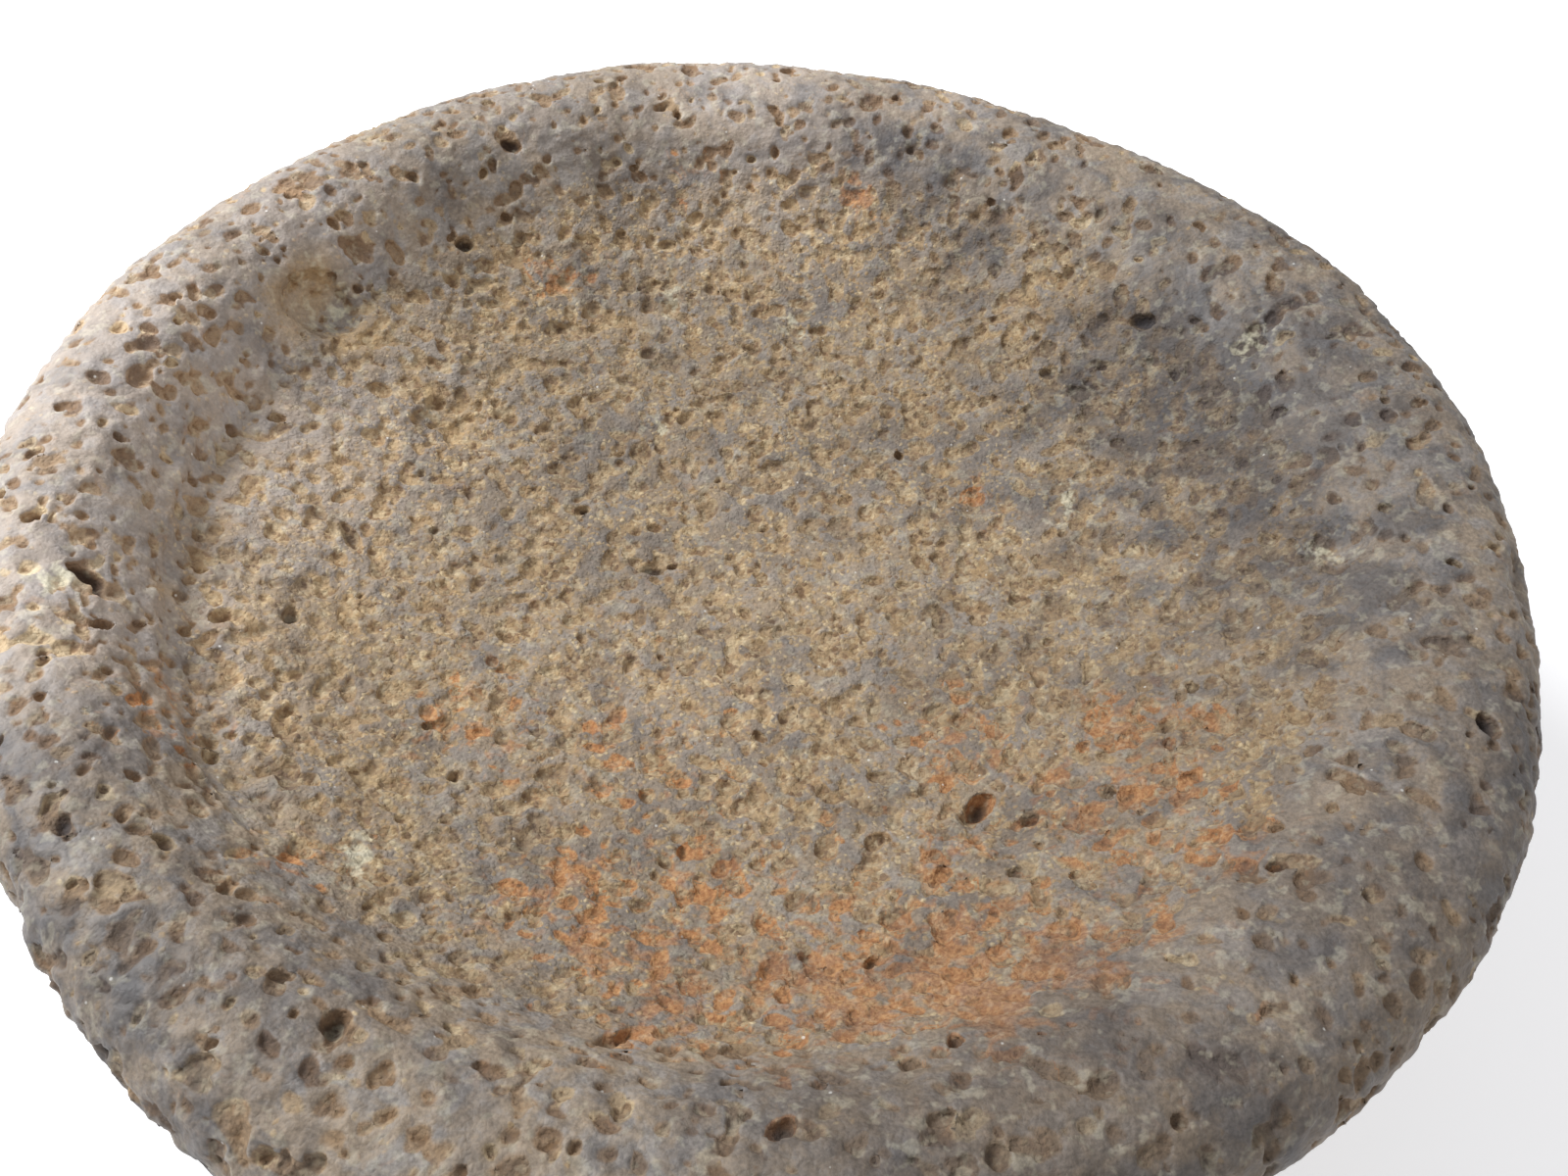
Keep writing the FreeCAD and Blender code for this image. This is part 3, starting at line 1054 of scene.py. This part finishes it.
    def finished(self, colour):
        """Connects the colour, and makes the basin and the pits matt and the rim smoother."""
        self.put(self.shader.inputs["Base Color"], colour)
        matt = self.math("MAXIMUM", self.ramp(self.pit, 0.1, 0.6), self.basin)
        gloss = self.math("ADD", self.ramp(matt, 0.0, 1.0, 0.62, 0.88),
                          self.ramp(self.fine, 0.3, 0.7, -0.07, 0.07))
        self.put(self.shader.inputs["Roughness"], gloss)
        self.shader.inputs["Specular IOR Level"].default_value = 0.45
        height = self.math("ADD", self.math("MULTIPLY", self.fine, 0.45),
                           self.ramp(self.small.outputs["Distance"], 0.7, 0.1, 0.0, 0.3))
        height = self.math("MULTIPLY", height, self.ramp(matt, 0.0, 1.0, 0.45, 1.0))
        bump = self.nodes.new("ShaderNodeBump")
        bump.inputs["Strength"].default_value = 0.9
        bump.inputs["Distance"].default_value = 0.5 * MM
        self.put(bump.inputs["Height"], height)
        self.put(self.shader.inputs["Normal"], bump.outputs["Normal"])


def basalt(name, age):
    """Age is how much sediment lies on a surface away from the basin."""
    stone = Basalt(name)
    colour = stone.silted(stone.matrix(), age)
    for layer in (stone.greyed_by_painted_light, stone.lined, stone.rusted, stone.shaded_in_hollows, stone.stained_and_shaded,
                  stone.glinting, stone.toned):
        colour = layer(colour)
    stone.finished(colour)
    return stone.material


def paper():
    """The plain pale floor."""
    recipe = Recipe("paper")
    tooth = recipe.noise(recipe.place(), 60.0, 3.0)
    recipe.put(recipe.shader.inputs["Base Color"],
               recipe.mix(tooth, linear(247, 247, 248), linear(250, 249, 249)))
    recipe.shader.inputs["Roughness"].default_value = 0.9
    recipe.shader.inputs["Emission Color"].default_value = linear(250, 250, 252)
    recipe.shader.inputs["Emission Strength"].default_value = 0.35
    return recipe.material


# --- Stage, light and camera ---

FLOOR_SIZE = 8.0
FLOOR_GAP = 0.0004  # under the feet, so that the floor never shows through them
LIGHT_AIM = (0.0, 0.0, 0.08)  # what both lights point at


def lay_floor():
    mesh = bpy.data.meshes.new("floor")
    half = FLOOR_SIZE / 2.0
    corners = [(-half, -half), (half, -half), (half, half), (-half, half)]
    mesh.from_pydata([(x, y, -FLOOR_GAP) for x, y in corners], [], [(0, 1, 2, 3)])
    floor = bpy.data.objects.new("floor", mesh)
    bpy.context.scene.collection.objects.link(floor)
    floor.data.materials.append(paper())


def soft_light(name, place, size, power, colour):
    light = bpy.data.lights.new(name, "AREA")
    light.shape = "DISK"
    light.size = size
    light.energy = power
    light.color = colour
    lamp = bpy.data.objects.new(name, light)
    bpy.context.scene.collection.objects.link(lamp)
    lamp.location = place
    lamp.rotation_euler = (Vector(LIGHT_AIM) - Vector(place)).to_track_quat("-Z", "Y").to_euler()


def light_scene():
    """A white room with a window behind to the left. The room lights less than it shows."""
    world = bpy.data.worlds.new("room")
    world.use_nodes = True
    nodes, links = world.node_tree.nodes, world.node_tree.links
    lit = nodes["Background"]
    lit.inputs["Color"].default_value = (0.95, 0.97, 1.0, 1.0)
    lit.inputs["Strength"].default_value = 0.54
    shown = nodes.new("ShaderNodeBackground")
    shown.inputs["Color"].default_value = (0.96, 0.98, 1.0, 1.0)
    path = nodes.new("ShaderNodeLightPath")
    either = nodes.new("ShaderNodeMixShader")
    links.new(path.outputs["Is Camera Ray"], either.inputs["Fac"])
    links.new(lit.outputs["Background"], either.inputs[1])
    links.new(shown.outputs["Background"], either.inputs[2])
    links.new(either.outputs["Shader"], nodes["World Output"].inputs["Surface"])
    bpy.context.scene.world = world
    soft_light("window", (-0.85, 0.3, 0.9), size=0.6, power=17.5, colour=(0.96, 0.98, 1.0))
    soft_light("room_fill", (0.9, -0.1, 0.9), size=0.9, power=1.2, colour=(1.0, 0.93, 0.86))
    bpy.context.scene.view_settings.view_transform = "Standard"


CAMERA_LENS = 31.65
CAMERA_TARGET = Vector((4.6, -22.8, 90.5)) * MM
CAMERA_AWAY = 211.6 * MM
CAMERA_ELEVATION = math.radians(49.96)
CAMERA_ROLL = math.radians(4.35)


def place_camera():
    data = bpy.data.cameras.new("camera")
    data.lens = CAMERA_LENS
    data.clip_start = 0.01
    camera = bpy.data.objects.new("camera", data)
    bpy.context.scene.collection.objects.link(camera)
    back = Vector((0.0, -math.cos(CAMERA_ELEVATION), math.sin(CAMERA_ELEVATION)))
    facing = (-back).to_track_quat("-Z", "Y").to_matrix() @ Matrix.Rotation(CAMERA_ROLL, 3, "Z")
    camera.matrix_world = Matrix.LocRotScale(CAMERA_TARGET + back * CAMERA_AWAY, facing, None)
    bpy.context.scene.camera = camera


place_camera()
light_scene()
lay_floor()
mortar_basalt = basalt("basalt", 0.06)
for piece in write_mortar():
    piece.data.materials.append(mortar_basalt)
write_tejolote().data.materials.append(basalt("pestle_basalt", 0.10))
